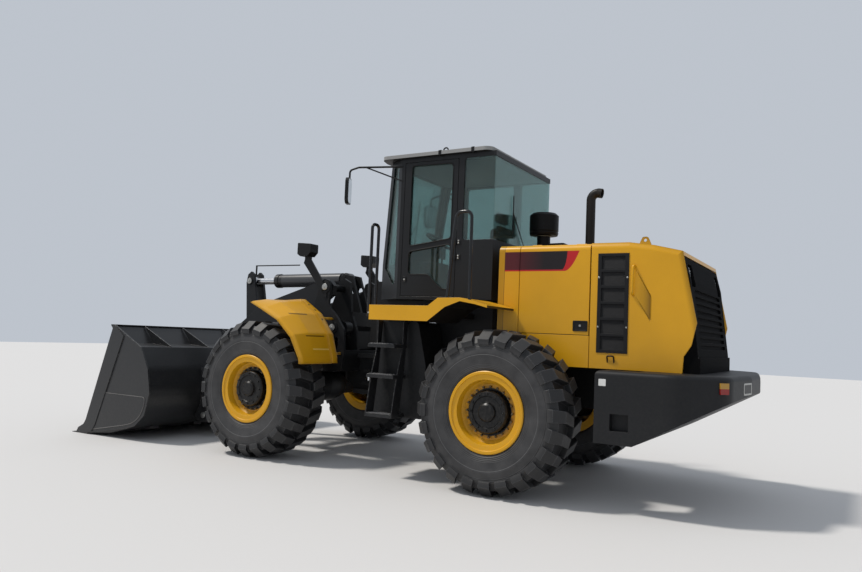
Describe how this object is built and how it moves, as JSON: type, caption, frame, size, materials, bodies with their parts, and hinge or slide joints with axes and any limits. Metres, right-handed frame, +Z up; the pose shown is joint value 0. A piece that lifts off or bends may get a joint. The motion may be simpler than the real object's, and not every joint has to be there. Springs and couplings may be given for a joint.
{
  "type": "wheel loader",
  "caption": "Articulated wheel loader with a Z-bar bucket linkage, glazed cab, rear engine hood, counterweight and large lugged tyres.",
  "frame": {"origin": "on the ground, at the middle of the overall length and width", "axes": "+X forward to the bucket, +Y to the machine's left, +Z up"},
  "size_m": [8.07, 3, 3.5199],
  "materials": {
    "tyre_rubber": "matte",
    "machine_yellow": "semi-gloss",
    "chassis_grey": "satin",
    "arm_grey": "satin",
    "bucket_grey": "satin",
    "cab_grey": "satin",
    "roof_grey": "satin",
    "engine_iron": "matte",
    "trim_black": "satin",
    "exhaust_steel": "satin",
    "lamp_plastic": "gloss",
    "tinted_glass": "gloss",
    "seat_fabric": "matte",
    "rod_chrome": "polished"
  },
  "bodies": {
    "rear_frame": {"rear_chassis": "chassis_grey", "cab_pedestal": "chassis_grey", "rear_axle": "chassis_grey", "drive_shaft": "chassis_grey", "engine": "engine_iron", "counterweight": "chassis_grey", "tail_lamps": "lamp_plastic", "hood_front": "machine_yellow", "hood_rear": "machine_yellow", "side_louvres": "trim_black", "rear_grille": "trim_black", "exhaust": "exhaust_steel", "pre_cleaner": "trim_black", "platforms": "machine_yellow", "ladders": "chassis_grey", "tanks": "chassis_grey", "cab_frame": "cab_grey", "cab_roof": "roof_grey", "cab_glass": "tinted_glass", "seat": "seat_fabric", "controls": "trim_black", "handrails": "chassis_grey", "mirrors": "trim_black"},
    "engine_door_l": {"engine_door_left": "machine_yellow"},
    "engine_door_r": {"engine_door_right": "machine_yellow"},
    "door": {"cab_door": "cab_grey", "cab_door_glass": "tinted_glass"},
    "front_frame": {"front_chassis": "chassis_grey", "tower_plate_left": "chassis_grey", "tower_plate_right": "chassis_grey", "front_axle": "chassis_grey", "front_fenders": "machine_yellow", "work_lamps": "trim_black"},
    "wheel_rear_left": {"tyre_rear_left": "tyre_rubber", "rim_rear_left": "machine_yellow"},
    "wheel_rear_right": {"tyre_rear_right": "tyre_rubber", "rim_rear_right": "machine_yellow"},
    "wheel_front_left": {"tyre_front_left": "tyre_rubber", "rim_front_left": "machine_yellow"},
    "wheel_front_right": {"tyre_front_right": "tyre_rubber", "rim_front_right": "machine_yellow"},
    "arm": {"boom": "arm_grey"},
    "loader_bucket": {"bucket": "bucket_grey", "cutting_edge": "bucket_grey"},
    "rocker_arm": {"rocker": "arm_grey"},
    "link": {"bucket_link": "arm_grey"},
    "tilt_cylinder": {"tilt_barrel": "arm_grey"},
    "tilt_piston": {"tilt_rod": "rod_chrome"},
    "lift_cylinders": {"lift_barrels": "arm_grey"},
    "lift_pistons": {"lift_rods": "rod_chrome"},
    "steer_cylinder_l": {"steer_barrel_left": "arm_grey"},
    "steer_piston_l": {"steer_rod_left": "rod_chrome"},
    "steer_cylinder_r": {"steer_barrel_right": "arm_grey"},
    "steer_piston_r": {"steer_rod_right": "rod_chrome"}
  },
  "joints": [
    {"name": "steering", "type": "hinge", "parent": "rear_frame", "child": "front_frame", "pos_m": [-0.415, 0, 0.93], "axis": [0, 0, 1], "range_deg": [-35, 35]},
    {"name": "wheel_rear_left_spin", "type": "hinge", "parent": "rear_frame", "child": "wheel_rear_left", "pos_m": [-1.915, 1.125, 0.77], "axis": [0, 1, 0], "continuous": true},
    {"name": "wheel_rear_right_spin", "type": "hinge", "parent": "rear_frame", "child": "wheel_rear_right", "pos_m": [-1.915, -1.125, 0.77], "axis": [0, 1, 0], "continuous": true},
    {"name": "wheel_front_left_spin", "type": "hinge", "parent": "front_frame", "child": "wheel_front_left", "pos_m": [1.085, 1.125, 0.77], "axis": [0, 1, 0], "continuous": true},
    {"name": "wheel_front_right_spin", "type": "hinge", "parent": "front_frame", "child": "wheel_front_right", "pos_m": [1.085, -1.125, 0.77], "axis": [0, 1, 0], "continuous": true},
    {"name": "boom_lift", "type": "hinge", "parent": "front_frame", "child": "arm", "pos_m": [0.635, 0, 1.98], "axis": [0, -1, 0], "range_deg": [0, 92]},
    {"name": "bucket_tilt", "type": "hinge", "parent": "arm", "child": "loader_bucket", "pos_m": [2.575, 0, 0.285], "axis": [0, 1, 0], "range_deg": [-36, 50]},
    {"name": "rocker_swing", "type": "hinge", "parent": "arm", "child": "rocker_arm", "pos_m": [2.275, 0, 1.45], "axis": [0, 1, 0], "range_deg": [-20, 15]},
    {"name": "link_swing", "type": "hinge", "parent": "loader_bucket", "child": "link", "pos_m": [2.522, 0, 0.661], "axis": [0, 1, 0], "range_deg": [-60, 44]},
    {"name": "tilt_barrel_swing", "type": "hinge", "parent": "front_frame", "child": "tilt_cylinder", "pos_m": [0.785, 0, 2.12], "axis": [0, -1, 0], "range_deg": [0, 104]},
    {"name": "tilt_rod_slide", "type": "slide", "parent": "tilt_cylinder", "child": "tilt_piston", "axis": [0.9999, 0, -0.0124], "range_m": [-0.23, 0.17]},
    {"name": "lift_barrel_swing", "type": "hinge", "parent": "front_frame", "child": "lift_cylinders", "pos_m": [0.495, 0, 1.5], "axis": [0, -1, 0], "range_deg": [0, 79]},
    {"name": "lift_rod_slide", "type": "slide", "parent": "lift_cylinders", "child": "lift_pistons", "axis": [0.9088, 0, -0.4173], "range_m": [0, 0.64]},
    {"name": "steer_barrel_swing_l", "type": "hinge", "parent": "rear_frame", "child": "steer_cylinder_l", "pos_m": [-0.875, 0.44, 0.93], "axis": [0, 0, 1], "range_deg": [-19, 19]},
    {"name": "steer_rod_slide_l", "type": "slide", "parent": "steer_cylinder_l", "child": "steer_piston_l", "axis": [0.9942, -0.1072, 0], "range_m": [-0.25, 0.25]},
    {"name": "steer_barrel_swing_r", "type": "hinge", "parent": "rear_frame", "child": "steer_cylinder_r", "pos_m": [-0.875, -0.44, 0.93], "axis": [0, 0, 1], "range_deg": [-19, 19]},
    {"name": "steer_rod_slide_r", "type": "slide", "parent": "steer_cylinder_r", "child": "steer_piston_r", "axis": [0.9942, 0.1072, 0], "range_m": [-0.25, 0.25]},
    {"name": "cab_door_swing", "type": "hinge", "parent": "rear_frame", "child": "door", "pos_m": [-1.184, 0.758, 2.37], "axis": [0, 0, 1], "range_deg": [0, 100]},
    {"name": "engine_door_left_lift", "type": "hinge", "parent": "rear_frame", "child": "engine_door_l", "pos_m": [-2.325, 0.703, 2.388], "axis": [1, 0, 0], "range_deg": [0, 80]},
    {"name": "engine_door_right_lift", "type": "hinge", "parent": "rear_frame", "child": "engine_door_r", "pos_m": [-2.325, -0.703, 2.388], "axis": [-1, 0, 0], "range_deg": [0, 80]}
  ],
  "couplings": [
    {"joint": "rocker_swing", "follows": "bucket_tilt", "ratio": -0.388},
    {"joint": "link_swing", "follows": "bucket_tilt", "ratio": -1.184},
    {"joint": "tilt_rod_slide", "follows": "bucket_tilt", "m_per_rad": -0.245},
    {"joint": "tilt_barrel_swing", "follows": "boom_lift", "ratio": 1.111},
    {"joint": "lift_barrel_swing", "follows": "boom_lift", "ratio": 0.8424},
    {"joint": "lift_rod_slide", "follows": "boom_lift", "m_per_rad": 0.393},
    {"joint": "steer_barrel_swing_l", "follows": "steering", "ratio": 0.509},
    {"joint": "steer_rod_slide_l", "follows": "steering", "m_per_rad": -0.38},
    {"joint": "steer_barrel_swing_r", "follows": "steering", "ratio": 0.509},
    {"joint": "steer_rod_slide_r", "follows": "steering", "m_per_rad": 0.38}
  ]
}
